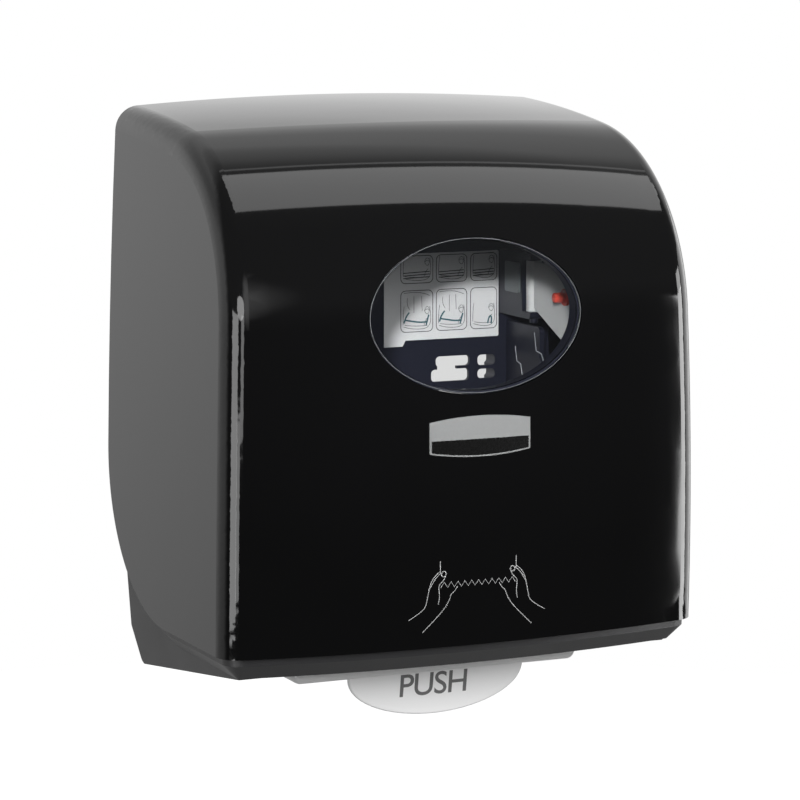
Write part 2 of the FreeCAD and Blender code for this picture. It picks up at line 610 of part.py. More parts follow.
guide_wall = 1.5
guide_y = slot_front_y
front_guide_top = feed_z - feed_radius - 2
front_guide = prism([(pocket_rear_y + 1, floor_top(pocket_rear_y + 1)), (guide_y, floor_top(guide_y)),
                     (guide_y, front_guide_top), (guide_y - guide_wall, front_guide_top),
                     (guide_y - guide_wall, floor_top(guide_y - guide_wall) + guide_wall),
                     (pocket_rear_y + 1, floor_top(pocket_rear_y + 1) + guide_wall)],
                    to_yz, -frame_x, frame_x)
blade_foot = floor_z(guide_y) - 0.4
blade_screw_z = blade_foot + 10
blade_screw_x = (23 - frame_x, 0.0, frame_x - 23)
for x in blade_screw_x:
    pad = Part.makeCylinder(3.5, guide_wall + 3, V(x, guide_y, blade_screw_z), V(0, -1, 0))
    front_guide = joined(front_guide, pad)
rear_guide_top = feed_z - pinch_radius - 2.5
rear_guide = prism([(slot_rear_y + 0.4, floor_top(slot_rear_y + 0.4)), (slot_rear_y + 10, floor_top(slot_rear_y + 10)),
                    (slot_rear_y + 10, floor_top(slot_rear_y + 10) + guide_wall),
                    (slot_rear_y + 0.4 + guide_wall, floor_top(slot_rear_y + 2) + guide_wall),
                    (slot_rear_y + 0.4 + guide_wall, rear_guide_top), (slot_rear_y + 0.4, rear_guide_top)],
                   to_yz, -frame_x, frame_x)
keep("rear_guide", rear_guide)

blade_wall, blade_half = 0.8, slot_half_width - 4
tooth_pitch, tooth_depth, blade_top = 4.0, 2.6, blade_foot + 14.5
blade_points = [(-blade_half, blade_top), (blade_half, blade_top)]
teeth = int(2 * blade_half / tooth_pitch)
for i in range(teeth):
    x = blade_half - i * tooth_pitch
    blade_points += [(x, blade_foot + tooth_depth), (x - tooth_pitch / 2, blade_foot)]
blade_points.append((-blade_half, blade_foot + tooth_depth))
blade = prism(blade_points, to_xz, guide_y, guide_y + blade_wall)
blade_screws = [pan_screw(V(x, guide_y + blade_wall, blade_screw_z), V(0, -1, 0), guide_wall + 2.5)
                for x in blade_screw_x]
blade_screw_group = Part.makeCompound(blade_screws)
keep("front_guide", front_guide.cut(blade_screw_group))
keep("tear_blade", blade.cut(blade_screw_group))
keep("blade_screws", *blade_screws)

# ---------------------------------------------------------------- feed and pinch rollers
core_radius = 14.5
shaft_left, shaft_right = 16 - width / 2, width / 2 - 20
feed_shaft = rod(feed_shaft_radius, shaft_left, shaft_right, feed_y, feed_z)
keep("feed_shaft", feed_shaft)
core_half = frame_x - 4.0
core = rod(core_radius, -core_half, core_half, feed_y, feed_z).cut(feed_shaft)
keep("feed_core", core)


def bands(outer, inner, y, z):
    places = []
    for x in band_places:
        solid = rod(outer, x - band_width / 2, x + band_width / 2, y, z)
        rims = [e for e in solid.Edges if isinstance(e.Curve, Part.Circle)]
        places.append(solid.makeFillet(0.6, rims).cut(rod(inner, -width, width, y, z)))
    return places


keep("feed_sleeves", *bands(feed_radius, core_radius, feed_y, feed_z))
pinch_shaft = rod(pinch_shaft_radius, -frame_x - 5, frame_x + 5, pinch_y, feed_z)
keep("pinch_shaft", pinch_shaft)
keep("pinch_rollers", *bands(pinch_radius, pinch_shaft_radius, pinch_y, feed_z))


def bush(outer, flange, inner, y, z):
    """Flanged bush pressed into a side frame from the inside."""
    body = rod(outer, frame_x, frame_x + frame_wall + 0.6, y, z)
    collar = rod(flange, frame_x - 1.2, frame_x, y, z)
    return joined(body, collar).cut(rod(inner + running, 0, width, y, z))


keep("feed_bushes", *on_both_sides(bush(feed_bush_radius, 9.0, feed_shaft_radius, feed_y, feed_z)))
keep("lever_bushes", *on_both_sides(bush(lever_bush_radius, 7.5, lever_shaft_radius, lever_y, lever_z)))
block = box(frame_x - 1.5, frame_x + frame_wall + 1.5, block_front, block_rear,
            feed_z - block_half + 0.1, feed_z + block_half - 0.1)
block = block.cut(rod(pinch_shaft_radius + running, 0, width, pinch_y, feed_z))
spigot = Part.makeCylinder(1.6, 4.0, V(frame_x + frame_wall / 2, block_rear, feed_z), V(0, 1, 0))
keep("pinch_blocks", *on_both_sides(joined(block, spigot)))


def coil(wire, radius, pitch, turns):
    """A round-wire coil spring that stands on the XY plane, along Z."""
    path = Part.makeHelix(pitch, pitch * turns, radius)
    ring = Part.Wire(Part.Circle(V(radius, 0, 0), V(0, 1, 0), wire / 2).toShape())
    return Part.Wire(path.Edges).makePipeShell([ring], True, True)


spring_length = window_rear - block_rear
spring_wire = 0.8
pinch_spring = coil(spring_wire, 2.4, (spring_length - spring_wire - 0.1) / 5, 5)
pinch_spring.rotate(V(0, 0, 0), V(1, 0, 0), -90)
pinch_spring.translate(V(frame_x + frame_wall / 2, block_rear + spring_wire / 2 + 0.05, feed_z))
keep("pinch_springs", *on_both_sides(pinch_spring))

# thumb wheel on the right end of the feed shaft, for threading the first sheet
wheel_radius, flute_radius, flutes = 17.0, 2.4, 18
wheel = rod(wheel_radius, frame_x + frame_wall + 3, shaft_right - 1, feed_y, feed_z)
wheel = wheel.makeFillet(1.2, [e for e in wheel.Edges if isinstance(e.Curve, Part.Circle)])
for i in range(flutes):
    turn = 2 * math.pi * i / flutes
    reach = wheel_radius + flute_radius * 0.55
    wheel = wheel.cut(rod(flute_radius, 0, width, feed_y + reach * math.cos(turn),
                          feed_z + reach * math.sin(turn)))
keep("thumb_wheel", wheel.cut(feed_shaft))

# ---------------------------------------------------------------- push lever
def lever_bar(inset):
    """Cross-section of the bar, run from end to end with rounded ends."""
    half = bar_half_width - inset
    top = bar_top_z + (5 if inset else 0)
    outline = [(bar_front_y + inset, top), (bar_front_y + inset, bar_z + inset, 3.5),
               (bar_rear_y - inset, bar_z + inset, 4.0), (bar_rear_y - inset, top)]
    solid = prism(outline, to_yz, -half, half)
    ends = [e for e in solid.Edges if abs(abs(e.CenterOfMass.x) - half) < 0.01
            and e.BoundBox.ZLength > 10 and e.BoundBox.YLength < 0.1]
    return solid.makeFillet(6.0 - inset / 2, ends)


lever_shell = lever_bar(0).cut(lever_bar(lever_wall))
tab_head_z = bar_z + 6.0
tab_head_y = bar_front_y + 0.8
tab_plate = prism([(tab_head_y, tab_head_z), (tab_head_y + tab_lean, tab_z - 1),
                   (tab_head_y + tab_lean + tab_wall, tab_z - 1), (tab_head_y + tab_wall, tab_head_z)],
                  to_yz, -bar_half_width, bar_half_width)
tab_curve = Part.Ellipse(V(tab_half_width, 0, bar_z), V(0, 0, tab_z), V(0, 0, bar_z))
tab_shape = Part.Face(Part.Wire(tab_curve.toShape())).extrude(V(0, -depth, 0))
tab = tab_plate.common(tab_shape)
rims = [e for e in tab.Edges if e.CenterOfMass.z < bar_z - 8 and e.BoundBox.XLength > tab_half_width]
tab = tab.makeFillet(1.2, rims)
lever_arm_x, lever_arm_wall, lever_boss_radius = bar_half_width - 9, 5.0, 8.0
lever_arm = prism([(bar_front_y + 4, bar_top_z - 12), (bar_rear_y - 3, bar_top_z - 12),
                   (bar_rear_y - 3, lever_z), (lever_y - 7, lever_z)],
                  to_yz, lever_arm_x, lever_arm_x + lever_arm_wall)
lever_boss_end = lever_arm_x + lever_arm_wall + 2
lever_boss = rod(lever_boss_radius, lever_arm_x - 2, lever_boss_end, lever_y, lever_z)
spring_radius, twist_wire, twist_turns = 6.0, 1.6, 5
twist_pitch = twist_wire + 0.15
spool_radius = spring_radius - twist_wire / 2 - 0.3
spool = rod(spool_radius, lever_boss_end, frame_x - 3.0, lever_y, lever_z)
lever = joined(lever_shell, tab, *on_both_sides(lever_arm), *on_both_sides(lever_boss), spool)
lever_shaft = rod(lever_shaft_radius, sector_face[0] - 2, frame_x + frame_wall + 2.5, lever_y, lever_z)
keep("push_lever", lever.cut(lever_shaft))
keep("lever_shaft", lever_shaft)

# return spring round the lever's shaft, one leg on the tie bar, one on the lever's arm
twist = coil(twist_wire, spring_radius, twist_pitch, twist_turns)
leg_up = Part.makeCylinder(twist_wire / 2, 26, V(spring_radius, 0, twist_pitch * twist_turns), V(0, 1, 0))
leg_down = Part.makeCylinder(twist_wire / 2, 22, V(spring_radius, 0, 0), V(0, -1, 0))
return_spring = joined(twist, leg_up, leg_down)
return_spring.rotate(V(0, 0, 0), V(0, 1, 0), 90)
return_spring.translate(V(lever_arm_x + lever_arm_wall + 5, lever_y, lever_z))
keep("return_spring", return_spring)

# ---------------------------------------------------------------- gears
pressure = math.radians(20.0)


def involute(angle):
    return math.tan(angle) - angle


def gear_outline(teeth, phase):
    """Corners of an involute spur gear about its own axis; phase points at one tooth."""
    pitch = module * teeth / 2
    base_circle = pitch * math.cos(pressure)
    tip, foot = pitch + 0.95 * module, pitch - 1.25 * module
    start = max(base_circle, foot + 0.05)
    half = math.pi / (2 * teeth) - gear_play / (2 * pitch) + involute(pressure)
    flank = []
    for step in range(4):
        radius = start + (tip - start) * step / 3
        flank.append((radius, half - involute(math.acos(min(1.0, base_circle / radius)))))
    flank.insert(0, (foot, flank[0][1]))
    corners = []
    for i in range(teeth):
        middle = phase + 2 * math.pi * i / teeth
        for radius, turn in flank:
            corners.append((radius * math.cos(middle - turn), radius * math.sin(middle - turn)))
        for radius, turn in reversed(flank):
            corners.append((radius * math.cos(middle + turn), radius * math.sin(middle + turn)))
    return corners


def gear(teeth, phase, face, y, z):
    corners = [(y + u, z + v) for u, v in gear_outline(teeth, phase)]
    return prism(corners, to_yz, *face)


sector_way = math.atan2(idler_z - lever_z, idler_y - lever_y)
clutch_way = math.atan2(feed_z - idler_z, feed_y - idler_y)
pinion_phase = sector_way + math.pi + math.pi / idler_pinion_teeth
clutch_phase = clutch_way + math.pi + math.pi / clutch_teeth

# toothed sector on the lever's shaft
lever_turn = math.radians(18.0)
sector_margin = math.radians(6.0)
sweep = (sector_way - lever_turn - sector_margin, sector_way + sector_margin)
far = sector_radius + 12
wedge = [(lever_y, lever_z)]
for turn in (sweep[0], (sweep[0] + sweep[1]) / 2, sweep[1]):
    wedge.append((lever_y + far * math.cos(turn), lever_z + far * math.sin(turn)))
sector = gear(sector_teeth, sector_way, sector_face, lever_y, lever_z).common(prism(wedge, to_yz, *sector_face))
middle_turn = (sweep[0] + sweep[1]) / 2
hole = rod(7.5, *sector_face, lever_y + 37 * math.cos(middle_turn), lever_z + 37 * math.sin(middle_turn))
sector = joined(sector, rod(9.0, *sector_face, lever_y, lever_z)).cut(hole)
keep("lever_sector", sector.cut(lever_shaft))

# idler: pinion and large wheel moulded in one, on a stud in the left frame
hub_end = (-frame_x - frame_wall - 1.3)
idler = gear(idler_gear_teeth, clutch_way, idler_face, idler_y, idler_z)
lightening = []
for i in range(6):
    turn = clutch_way + math.pi * i / 3
    lightening.append(rod(6.0, -width, 0, idler_y + 20 * math.cos(turn), idler_z + 20 * math.sin(turn)))
pinion = gear(idler_pinion_teeth, pinion_phase, (idler_face[1], hub_end), idler_y, idler_z)
idler = joined(idler.cut(Part.makeCompound(lightening)), pinion)
keep("idler_gear", idler.cut(rod(stud_radius + running, -width, 0, idler_y, idler_z)))
stud_end = idler_face[0] - 0.4
stud = rod(stud_radius, stud_end - 1.8, -frame_x, idler_y, idler_z)
shoulder = rod(6.0, hub_end + 0.3, -frame_x - frame_wall, idler_y, idler_z)
stud_head = rod(6.5, stud_end - 1.8, stud_end, idler_y, idler_z)
keep("idler_stud", joined(stud, shoulder, stud_head))

# clutch wheel, free to slip back on the feed shaft, between its collar and its clip
clutch = gear(clutch_teeth, clutch_phase, idler_face, feed_y, feed_z)
clutch_hub = rod(9.0, idler_face[1], idler_face[1] + 3.0, feed_y, feed_z)
keep("clutch_gear", joined(clutch, clutch_hub).cut(rod(feed_shaft_radius + running, -width, 0, feed_y, feed_z)))
clip = rod(6.5, idler_face[0] - 1.3, idler_face[0] - 0.3, feed_y, feed_z).cut(feed_shaft)
collar_start = idler_face[1] + 3.3
collar = rod(7.0, collar_start, -frame_x - frame_wall - 1.0, feed_y, feed_z).cut(feed_shaft)
keep("shaft_clips", clip, collar)


for name, shape in nodes.items():
    shape.exportStep("parts/" + name + ".step")
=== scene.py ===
import math

import bmesh
import bpy
from mathutils import Matrix, Quaternion, Vector
from mathutils.bvhtree import BVHTree


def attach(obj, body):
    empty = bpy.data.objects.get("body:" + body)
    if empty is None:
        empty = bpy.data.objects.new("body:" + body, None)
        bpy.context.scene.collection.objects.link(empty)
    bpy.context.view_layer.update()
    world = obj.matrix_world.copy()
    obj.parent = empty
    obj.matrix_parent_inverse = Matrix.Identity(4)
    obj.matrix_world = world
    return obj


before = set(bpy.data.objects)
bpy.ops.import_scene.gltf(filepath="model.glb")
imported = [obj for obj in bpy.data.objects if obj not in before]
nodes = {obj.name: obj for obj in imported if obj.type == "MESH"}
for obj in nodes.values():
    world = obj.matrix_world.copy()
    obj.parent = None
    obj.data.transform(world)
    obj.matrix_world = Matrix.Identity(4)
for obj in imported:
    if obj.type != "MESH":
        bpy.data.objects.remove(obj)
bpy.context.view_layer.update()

# Camera: in front and to the left, a little above the middle of the window.
collection = bpy.context.scene.collection
azimuth, elevation = math.radians(24.22), math.radians(7.85)
backwards = Vector((-math.sin(azimuth) * math.cos(elevation),
                    -math.cos(azimuth) * math.cos(elevation), math.sin(elevation)))
camera = bpy.data.objects.new("camera", bpy.data.cameras.new("camera"))
collection.objects.link(camera)
camera.location = (-0.7894, -1.8502, 0.2469)
camera.rotation_mode = "QUATERNION"
camera.rotation_quaternion = (-backwards).to_track_quat("-Z", "Y")
camera.data.sensor_width = 36.0
camera.data.lens = 153.0
bpy.context.scene.camera = camera
bpy.context.scene.view_settings.view_transform = "Standard"


# Studio: a pale backdrop behind, a dark room in front that keeps the polished cover
# black, softboxes for its highlights, and a pale floor well under the dispenser.
class Number:
    """A number that varies over a surface, for use in sums."""

    def __init__(self, tree, socket):
        self.tree = tree
        self.socket = socket

    def sum(self, operation, first, second):
        return self.tree.add("ShaderNodeMath", {"operation": operation}, {0: first, 1: second})

    def __add__(self, other):
        return self.sum("ADD", self, other)

    def __radd__(self, other):
        return self.sum("ADD", other, self)

    def __sub__(self, other):
        return self.sum("SUBTRACT", self, other)

    def __rsub__(self, other):
        return self.sum("SUBTRACT", other, self)

    def __mul__(self, other):
        return self.sum("MULTIPLY", self, other)

    def __rmul__(self, other):
        return self.sum("MULTIPLY", other, self)


class Tree:
    """The nodes of one material or of the world."""

    def __init__(self, owner):
        owner.use_nodes = True
        self.owner = owner
        self.nodes = owner.node_tree.nodes
        self.links = owner.node_tree.links

    def add(self, kind, settings, sockets, output=0):
        node = self.nodes.new(kind)
        for name, value in settings.items():
            if name == "stops":
                ramp = node.color_ramp.elements
                while len(ramp) < len(value):
                    ramp.new(0.5)
                for stop, (place, shade) in zip(ramp, value):
                    stop.position = place
                    stop.color = (shade, shade, shade, 1)
            else:
                setattr(node, name, value)
        for name, value in sockets.items():
            self.join(node.inputs[name], value)
        return Number(self, node.outputs[output])

    def join(self, socket, value):
        if isinstance(value, Number):
            self.links.new(value.socket, socket)
        elif isinstance(value, tuple) and len(value) == 3 and socket.type == "RGBA":
            socket.default_value = (*value, 1)
        else:
            socket.default_value = value

    def step(self, value, low, high):
        """0 below low, 1 above high, smooth between."""
        return self.add("ShaderNodeMapRange", {"interpolation_type": "SMOOTHSTEP"},
                        {"Value": value, "From Min": low, "From Max": high,
                         "To Min": 0.0, "To Max": 1.0})


world = bpy.data.worlds.new("studio")
bpy.context.scene.world = world
sky = Tree(world)
sky_way = sky.add("ShaderNodeTexCoord", {}, {}, "Generated")
sky_x = sky.add("ShaderNodeSeparateXYZ", {}, {0: sky_way}, 0)
sky_y = sky.add("ShaderNodeSeparateXYZ", {}, {0: sky_way}, 1)
sky_z = sky.add("ShaderNodeSeparateXYZ", {}, {0: sky_way}, 2)
# each ramp runs from straight down (0) to straight up (1), at half the strength it shines with
behind_stops = [(0.0, 0.20), (0.371, 0.25), (0.405, 0.30), (0.456, 0.39), (0.50, 0.46), (0.58, 0.51),
                (0.655, 0.50), (0.703, 0.43), (0.75, 0.37), (0.815, 0.35), (0.894, 0.46), (0.919, 0.39),
                (0.957, 0.33), (1.0, 0.22)]
front_stops = [(0.0, 0.06), (0.40, 0.042), (0.50, 0.055), (0.60, 0.085), (0.90, 0.085), (1.0, 0.10)]
behind = sky.add("ShaderNodeValToRGB", {"stops": behind_stops}, {0: sky_z * 0.5 + 0.5})
in_front = sky.add("ShaderNodeValToRGB", {"stops": front_stops}, {0: sky_z * 0.5 + 0.5})
turn = sky.step(sky_y - sky_z * 0.15, -0.10, 0.25)
# a soft glow round one way in front, which shows beside the left strip's head
glow_x, glow_y, glow_z = -0.184, -0.948, 0.259
glow = sky.step(sky_x * glow_x + sky_y * glow_y + sky_z * glow_z, 0.955, 1.0)
studio = (in_front * 2.0 + glow * 1.2) * (1 - turn) + behind * 2.0 * turn
seen = sky.add("ShaderNodeLightPath", {}, {}, "Is Camera Ray")
sky.join(sky.nodes["Background"].inputs["Strength"], studio * (1 - seen) + seen)
sky.nodes["Background"].inputs["Color"].default_value = (1, 1, 1, 1)


def softbox(name, target, bearing, rise, distance, wide, high, radiance, tilt=0):
    """A lamp that faces target and is seen only in reflections.

    bearing and rise are degrees from straight in front of the target, wide and high the degrees
    that the lamp spans from there, and tilt the degrees that it is turned about its own axis.
    """
    bearing, rise = math.radians(bearing), math.radians(rise)
    offset = Vector((math.sin(bearing) * math.cos(rise), -math.cos(bearing) * math.cos(rise),
                     math.sin(rise)))
    lamp = bpy.data.lights.new(name, "AREA")
    lamp.shape = "RECTANGLE"
    lamp.size = 2 * distance * math.tan(math.radians(wide) / 2)
    lamp.size_y = 2 * distance * math.tan(math.radians(high) / 2)
    lamp.energy = radiance * math.pi * lamp.size * lamp.size_y
    box = bpy.data.objects.new(name, lamp)
    collection.objects.link(box)
    box.location = Vector(target) + distance * offset
    box.rotation_mode = "QUATERNION"
    facing = (-offset).to_track_quat("-Z", "Y")
    box.rotation_quaternion = facing @ Quaternion((0, 0, 1), math.radians(tilt))
    box.visible_diffuse = False
    return box


# a box over the right end, and a dim rail behind it, for the bands across the shoulder
overhead = softbox("overhead_box", (0.85, -0.34, 0.1), 0, 90, 1.5, 72.5, 29.1, 2.25)
overhead_rail = softbox("overhead_rail", (0.85, 0.16, 0.1), 0, 90, 1.5, 72.5, 1.4, 0.9)
for box in (overhead, overhead_rail):
    box.rotation_quaternion = (1, 0, 0, 0)

# upright strips for the highlights down the two front corners
left_corner, right_corner = (-0.135, -0.185, 0), (0.13, -0.19, 0)
softbox("left_strip", left_corner, -58.5, -4.8, 2.4, 27, 25, 4.6)
softbox("left_strip_inner", left_corner, -27, 0.4, 2.4, 12, 15, 3.2)
softbox("left_strip_foot", left_corner, -39.5, -10.8, 2.4, 13, 11, 3.6)
softbox("left_strip_head", left_corner, -35, 11.4, 2.4, 28, 13.5, 4.3).data.shape = "ELLIPSE"
softbox("right_strip", right_corner, 62.15, -6.5, 1.55, 24, 26, 9.0, 5.6)
softbox("right_strip_head", right_corner, 65, 11, 1.55, 18, 9, 6.0)
softbox("right_wall", (0.13, -0.15, 0), 100, 0, 1.9, 44, 34, 1.7)

# a fill for the lever and base, and a narrow beam through the window; neither is reflected
front_fill = softbox("front_fill", (0, -0.15, -0.17), -8, 25, 2.2, 40, 30, 9.5)
front_fill.visible_diffuse = True
front_fill.visible_glossy = False
beam = bpy.data.lights.new("window_beam", "SPOT")
beam.energy = 1150.0
beam.spot_size = math.radians(3.2)
beam.spot_blend = 0.3
beam.shadow_soft_size = 0.11
window_beam = bpy.data.objects.new("window_beam", beam)
collection.objects.link(window_beam)
window_middle = Vector((0, -0.19, 0.0405))
window_beam.location = (-1.042, -2.195, 0.550)
window_beam.rotation_mode = "QUATERNION"
window_beam.rotation_quaternion = (window_middle - window_beam.location).to_track_quat("-Z", "Y")
window_beam.visible_glossy = False

floor_radius, floor_height = 1.25, -0.46
ground = bmesh.new()
bmesh.ops.create_circle(ground, cap_ends=True, segments=96, radius=floor_radius)
bmesh.ops.translate(ground, verts=ground.verts, vec=(0, 0, floor_height))
floor = bpy.data.objects.new("floor", bpy.data.meshes.new("floor"))
ground.to_mesh(floor.data)
ground.free()
collection.objects.link(floor)
floor_finish = Tree(bpy.data.materials.new("pale_floor"))
floor_shader = floor_finish.nodes["Principled BSDF"]
floor_shader.inputs["Base Color"].default_value = (0.2, 0.2, 0.2, 1)
floor_shader.inputs["Roughness"].default_value = 0.9
floor_shader.inputs["Specular IOR Level"].default_value = 0.0
floor_shader.inputs["Emission Color"].default_value = (1, 1, 1, 1)
floor_shader.inputs["Emission Strength"].default_value = 1.0
floor.data.materials.append(floor_finish.owner)
floor.visible_glossy = False
floor.visible_diffuse = False


class Finish(Tree):
    """A material round one Principled shader, whose patterns lie in the object's own place."""

    def __init__(self, name, **looks):
        super().__init__(bpy.data.materials.new(name))
        self.shader = self.nodes["Principled BSDF"]
        self.place = self.add("ShaderNodeTexCoord", {}, {}, "Object")
        for socket, value in looks.items():
            self.set(socket.replace("_", " "), value)

    def set(self, socket, value):
        self.join(self.shader.inputs[socket], value)

    def noise(self, scale, detail=2.0, stretch=(1, 1, 1)):
        """Cloudy noise; scale is per metre, and a small stretch draws it out along that axis."""
        spread = self.add("ShaderNodeMapping", {}, {"Vector": self.place, "Scale": stretch})
        return self.add("ShaderNodeTexNoise", {}, {"Vector": spread, "Scale": scale, "Detail": detail})

    def mix(self, share, first, second):
        return self.add("ShaderNodeMix", {"data_type": "RGBA"}, {0: share, 6: first, 7: second}, 2)

    def bump(self, height, depth, strength=1.0):
        self.set("Normal", self.add("ShaderNodeBump", {},
                                    {"Height": height, "Distance": depth, "Strength": strength}))

    def dress(self, *names):
        for name in names:
            for slot in nodes[name].material_slots:
                slot.material = self.owner


base_satin = Finish("base_satin", IOR=1.5)
base_grain = base_satin.noise(2600.0, 2.0)
base_handling = base_satin.noise(30.0, 4.0)
base_satin.set("Base Color", base_satin.mix(base_grain, (0.014, 0.014, 0.015), (0.022, 0.022, 0.023)))
base_satin.set("Roughness", base_grain * 0.14 + base_handling * 0.10 + 0.30)
base_satin.bump(base_grain, 0.00004)
base_satin.dress("base_housing")

# Wall plate: the flat black back of the dispenser, ribbed behind, with windows cut through
# it. It takes the four wall screws, and the base is screwed to its foot.
inner_black = Finish("inner_black", IOR=1.5)
inner_grain = inner_black.noise(1500.0, 2.0)
inner_flow = inner_black.noise(18.0, 3.0, (1.0, 1.0, 0.4))
inner_black.set("Base Color", inner_black.mix(inner_grain, (0.011, 0.012, 0.022), (0.020, 0.022, 0.036)))
inner_black.set("Roughness", inner_grain * 0.16 + inner_flow * 0.12 + 0.28)
inner_black.bump(inner_grain, 0.00004)
inner_black.dress("wall_plate")

# Dust lips: soft black strips pushed on the wall plate's long edges. They close the gap
# to the sides of the cover, and stop short of the lock and of the hinge.
mm = 0.001
lip_root, lip_front, lip_thickness, lip_gap = 125.4 * mm, -6.4 * mm, 1.4 * mm, 0.3 * mm
lip_middle, lip_half_length = 5.0 * mm, 70.0 * mm


def surface(name):
    """The faces of a node, for finding points on it by ray_cast."""
    mesh = nodes[name].data
    return BVHTree.FromPolygons([vertex.co for vertex in mesh.vertices],
                                [polygon.vertices[:] for polygon in mesh.polygons])


def made(name, shape, finish):
    """A new piece in one finish, from a finished bmesh."""
    piece = bpy.data.objects.new(name, bpy.data.meshes.new(name))
    shape.to_mesh(piece.data)
    shape.free()
    piece.data.materials.append(finish.owner)
    collection.objects.link(piece)
    return piece


cover_faces = surface("front_cover")
for side, name in ((1, "right_dust_lip"), (-1, "left_dust_lip")):
    lip = bmesh.new()
    bmesh.ops.create_grid(lip, x_segments=1, y_segments=12, size=1.0)
    for vertex in lip.verts:
        place = Vector((side * lip_root, lip_front, lip_middle + lip_half_length * vertex.co.y))
        if vertex.co.x > 0:
            wall = cover_faces.ray_cast(place, Vector((side, 0, 0)))[0]
            place.x = wall.x - side * lip_gap
        vertex.co = place
    walls = bmesh.ops.extrude_face_region(lip, geom=lip.faces[:])["geom"]
    bmesh.ops.translate(lip, verts=[part for part in walls if isinstance(part, bmesh.types.BMVert)],
                        vec=(0, lip_thickness, 0))
    bmesh.ops.recalc_face_normals(lip, faces=lip.faces)
    strip = made(name, lip, inner_black)
    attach(strip, "housing")

# Screws: pan-head steel screws, zinc plated. They hold the base to the wall plate, the side
# frames to the base and the tear blade to its guide.
zinc = Finish("zinc", Metallic=1.0)
zinc_cloud = zinc.noise(400.0, 3.0)
zinc.set("Base Color", zinc.mix(zinc_cloud, (0.50, 0.51, 0.50), (0.66, 0.66, 0.62)))
zinc.set("Roughness", zinc_cloud * 0.2 + 0.25)
zinc.dress("plate_screws", "frame_screws", "blade_screws")


# Instruction label: white self-adhesive paper on the wall plate, stepped at its lower left.
# Its print is two rows of rounded frames with small drawings, black with a little teal.
def drawn(name, data):
    """The mesh of a curve or text."""
    drawing = bpy.data.objects.new(name, data)
    collection.objects.link(drawing)
    mesh = bpy.data.meshes.new_from_object(drawing)
    bpy.data.objects.remove(drawing)
    return mesh


def front_of(faces, x, z):
    """The y at which a surface is met from the front."""
    return faces.ray_cast(Vector((x, -0.5, z)), Vector((0, 1, 0)))[0].y


def laid(name, data, carrier, body, finish, lift, height=0.1):
    """A curve or text, drawn flat, laid as thin print on the front of the carrier.

    lift is the height of its middle over the carrier in mm, and height the share of its own
    thickness that it keeps.
    """
    mesh = drawn(name, data)
    mesh.transform(Matrix.Rotation(math.radians(90), 4, "X"))
    faces = surface(carrier)
    for vertex in mesh.vertices:
        x, y, z = vertex.co
        vertex.co = (x, front_of(faces, x, z) - lift * mm + y * height, z)
    mesh.materials.clear()
    mesh.materials.append(finish.owner)
    piece = bpy.data.objects.new(name, mesh)
    collection.objects.link(piece)
    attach(piece, body)
    return piece


def strokes(name, lines, width, smooth):
    """Lines of one width through corners given as (x, z) in mm; smooth ones round them."""
    curve = bpy.data.curves.new(name, "CURVE")
    curve.dimensions = "3D"
    curve.bevel_depth = width / 2 * mm
    curve.bevel_resolution = 1
    curve.use_fill_caps = True
    for line in lines:
        closed = line[0] == line[-1]
        corners = line[:-1] if closed else line
        spline = curve.splines.new("NURBS" if smooth else "POLY")
        spline.points.add(len(corners) - 1)
        for point, (x, z) in zip(spline.points, corners):
            point.co = (x * mm, z * mm, 0, 1)
        spline.use_cyclic_u = closed
        if smooth:
            spline.order_u = 3
            spline.use_endpoint_u = not closed
            spline.resolution_u = 6
    return curve


def rounded(left, right, low, high, corner):
    """The outline of a box with round corners, as (x, z) in mm."""
    line = []
    for x, z, start in ((right - corner, high - corner, 0), (left + corner, high - corner, 90),
                        (left + corner, low + corner, 180), (right - corner, low + corner, 270)):
        for step in range(6):
            turn = math.radians(start + 18 * step)
            line.append((x + corner * math.cos(turn), z + corner * math.sin(turn)))
    return line + [line[0]]


label_paper = Finish("label_paper", IOR=1.45)
paper_fibre = label_paper.noise(700.0, 4.0)
paper_cloud = label_paper.noise(40.0, 3.0)
label_paper.set("Base Color", label_paper.mix(paper_fibre, (0.76, 0.77, 0.79), (0.84, 0.85, 0.87)))
label_paper.set("Roughness", paper_fibre * 0.1 + paper_cloud * 0.1 + 0.42)
label_paper.dress("instruction_label")

print_black = Finish("print_black", IOR=1.5)
ink_grain = print_black.noise(1200.0, 2.0)
print_black.set("Base Color", print_black.mix(ink_grain, (0.020, 0.022, 0.026), (0.06, 0.062, 0.068)))
print_black.set("Roughness", ink_grain * 0.1 + 0.45)
print_teal = Finish("print_teal", IOR=1.5)
teal_grain = print_teal.noise(1200.0, 2.0)
print_teal.set("Base Color", print_teal.mix(teal_grain, (0.02, 0.10, 0.13), (0.05, 0.17, 0.20)))
print_teal.set("Roughness", teal_grain * 0.1 + 0.45)

frame_columns = [(37.9, 58.9), (61.2, 81.4), (83.9, 101.4)]
lower_row, upper_row, frame_corner = (9.6, 34.4), (38.8, 55.2), 3.0
label_frames = [rounded(left, right, *row, frame_corner)
                for row in (lower_row, upper_row) for left, right in frame_columns]
laid("label_frames", strokes("label_frames", label_frames, 0.45, False), "instruction_label", "housing",
     print_black, 0.02)

